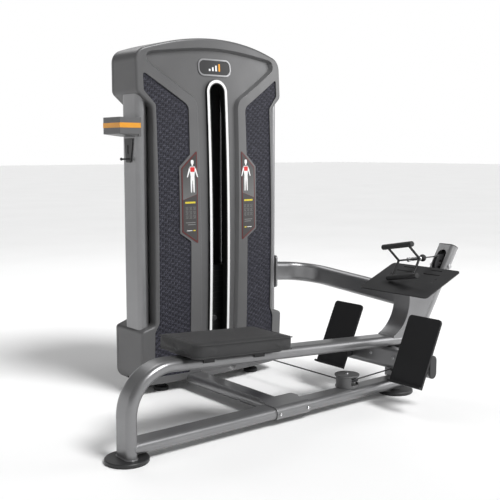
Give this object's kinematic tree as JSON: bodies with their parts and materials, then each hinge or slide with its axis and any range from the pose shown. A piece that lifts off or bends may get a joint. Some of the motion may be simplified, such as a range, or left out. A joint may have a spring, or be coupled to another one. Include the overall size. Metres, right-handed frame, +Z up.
{
  "type": "seated cable row",
  "caption": "Seated cable row: padded seat rail, footplates and twin-grip handle, with a cable over pulleys to a shrouded weight tower.",
  "frame": {"origin": "bottom centre of the bounding box, on the floor", "axes": "+X along the seat rail from the leg to the leaning column, +Y from the seat back to the weight tower, +Z up"},
  "size_m": [1.859, 1.1714, 1.5867],
  "materials": {
    "frame_silver": "satin silver-grey powder coat",
    "charcoal_steel": "fine textured charcoal powder coat",
    "rubber": "matt black rubber",
    "black_plastic": "matt black moulding",
    "seat_vinyl": "dark charcoal upholstery vinyl",
    "cover_grey": "satin graphite moulded cover",
    "woven_panel": "dark blue-grey basket weave",
    "placard": "printed placard",
    "white_trim": "white trim",
    "badge": "black badge with a silver rim",
    "orange_band": "orange band",
    "weight_black": "black enamelled iron",
    "bright_steel": "bright steel",
    "pin_knob": "black knob",
    "cable": "black sheathed cable",
    "pulley_nylon": "dark grey nylon",
    "handle_steel": "black handle frame",
    "grip_rubber": "black rubber grip"
  },
  "bodies": {
    "frame": {"leg_and_seat_rail": "frame_silver", "lower_rail": "frame_silver", "cross_tube": "frame_silver", "joint_saddle": "frame_silver", "floor_disc_leg": "charcoal_steel", "floor_disc_column": "charcoal_steel", "floor_pad_leg": "rubber", "floor_pad_column": "rubber", "column_tube": "frame_silver", "column_base_post": "frame_silver", "column_gusset": "frame_silver", "brace_arm": "frame_silver", "footplate_tube": "frame_silver", "footplate_near": "charcoal_steel", "footplate_far": "charcoal_steel", "footplate_bracket_near": "charcoal_steel", "footplate_bracket_far": "charcoal_steel", "end_caps": "black_plastic", "handle_shelf": "charcoal_steel", "seat_pad": "seat_vinyl", "seat_board": "charcoal_steel", "tower_base_frame": "charcoal_steel", "tower_feet": "rubber", "upright_left": "frame_silver", "upright_right": "frame_silver", "top_beam": "charcoal_steel", "front_shroud": "cover_grey", "rear_shroud": "cover_grey", "mesh_panel_left": "woven_panel", "mesh_panel_right": "woven_panel", "placard_left": "placard", "placard_right": "placard", "slot_trim": "white_trim", "badge": "badge", "cup_holder": "cover_grey", "cup_holder_band": "orange_band", "towel_hook": "black_plastic", "weight_plates_resting": "weight_black", "guide_rod_left": "bright_steel", "guide_rod_right": "bright_steel", "stack_buffer": "rubber", "cable_frame_run": "cable", "cable_stack_run": "cable", "cable_pull_run": "cable", "axles_and_bolts": "bright_steel", "rail_pulley_bracket": "charcoal_steel"},
    "stack": {"weight_plates_lifted": "weight_black", "top_plate": "weight_black", "selector_rod": "bright_steel"},
    "pin": {"selector_pin": "pin_knob"},
    "trolley": {"ball_stop": "grip_rubber"},
    "swivel": {"swivel_link": "bright_steel"},
    "handle": {"handle_frame": "handle_steel", "handle_grips": "grip_rubber"},
    "top_inner_wheel": {"top_inner_pulley": "pulley_nylon"},
    "top_outer_wheel": {"top_outer_pulley": "pulley_nylon"},
    "tower_bottom_wheel": {"tower_bottom_pulley": "pulley_nylon"},
    "rail_wheel": {"rail_pulley": "pulley_nylon"},
    "column_base_wheel": {"column_base_pulley": "pulley_nylon"},
    "column_top_wheel": {"column_top_pulley": "pulley_nylon"}
  },
  "joints": [
    {"name": "stack_lift", "type": "slide", "parent": "frame", "child": "stack", "axis": [0, 0, 1], "range_m": [0, 0.7], "deforming": ["cable_stack_run"]},
    {"name": "pin_pull", "type": "slide", "parent": "stack", "child": "pin", "axis": [0, -1, 0], "range_m": [0, 0.075]},
    {"name": "handle_pull", "type": "slide", "parent": "frame", "child": "trolley", "axis": [-1, 0, 0], "range_m": [0, 0.7], "deforming": ["cable_pull_run"]},
    {"name": "swivel_turn", "type": "hinge", "parent": "trolley", "child": "swivel", "pos_m": [0.72268, -0.27425, 0.598], "axis": [1, 0, 0], "range_deg": [0, 12]},
    {"name": "handle_tilt", "type": "hinge", "parent": "swivel", "child": "handle", "pos_m": [0.62768, -0.27425, 0.598], "axis": [0.1371, 0.9752, -0.1736], "range_deg": [0, 60]},
    {"name": "top_inner_spin", "type": "hinge", "parent": "frame", "child": "top_inner_wheel", "pos_m": [0.05368, 0.45175, 1.455], "axis": [0, 1, 0], "range_deg": [0, 909.1]},
    {"name": "top_outer_spin", "type": "hinge", "parent": "frame", "child": "top_outer_wheel", "pos_m": [0.16868, 0.45175, 1.455], "axis": [0, 1, 0], "range_deg": [0, 909.1]},
    {"name": "tower_bottom_spin", "type": "hinge", "parent": "frame", "child": "tower_bottom_wheel", "pos_m": [0.21368, 0.40675, 0.155], "axis": [-1, 0, 0], "range_deg": [0, 909.1]},
    {"name": "rail_spin", "type": "hinge", "parent": "frame", "child": "rail_wheel", "pos_m": [0.25568, -0.25963, 0.11], "axis": [0, 0, 1], "range_deg": [0, 974]},
    {"name": "column_base_spin", "type": "hinge", "parent": "frame", "child": "column_base_wheel", "pos_m": [0.56717, -0.27425, 0.135], "axis": [0, -1, 0], "range_deg": [0, 1636.4]},
    {"name": "column_top_spin", "type": "hinge", "parent": "frame", "child": "column_top_wheel", "pos_m": [0.85326, -0.27425, 0.552], "axis": [0, -1, 0], "range_deg": [0, 889.3]}
  ],
  "couplings": [
    {"joint": "handle_pull", "follows": "stack_lift", "ratio": 1},
    {"joint": "top_inner_spin", "follows": "stack_lift", "rad_per_m": 22.222},
    {"joint": "top_outer_spin", "follows": "stack_lift", "rad_per_m": 22.222},
    {"joint": "tower_bottom_spin", "follows": "stack_lift", "rad_per_m": 22.222},
    {"joint": "rail_spin", "follows": "stack_lift", "rad_per_m": 23.81},
    {"joint": "column_base_spin", "follows": "stack_lift", "rad_per_m": 40},
    {"joint": "column_top_spin", "follows": "stack_lift", "rad_per_m": 21.739}
  ]
}
